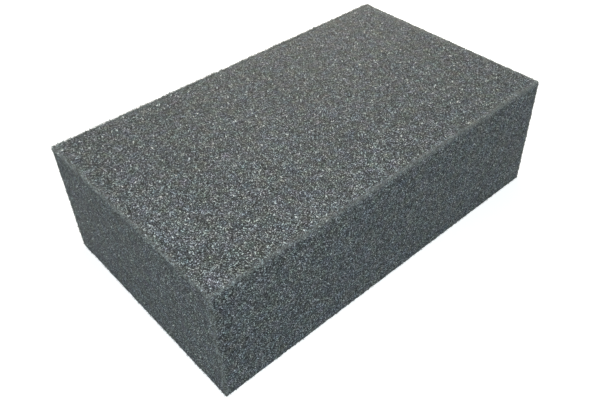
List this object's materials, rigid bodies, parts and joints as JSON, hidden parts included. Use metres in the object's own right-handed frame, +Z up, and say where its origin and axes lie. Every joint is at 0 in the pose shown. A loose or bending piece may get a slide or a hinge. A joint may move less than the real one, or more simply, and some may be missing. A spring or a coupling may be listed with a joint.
{
  "type": "foam block",
  "caption": "Rectangular block of soft dark grey open-cell foam, cut flat on all sides, to lay under, beside or between things on a bench or desk as a pad, rest or packing",
  "frame": {"origin": "the middle of the bottom face, the largest face, which the block rests on", "axes": "+X along the length, +Y along the width, +Z up through the thickness"},
  "size_m": [0.2, 0.118, 0.0615],
  "materials": {
    "foam": "matte, open cut cells"
  },
  "bodies": {
    "root": {"foam_block": "foam"}
  },
  "joints": []
}
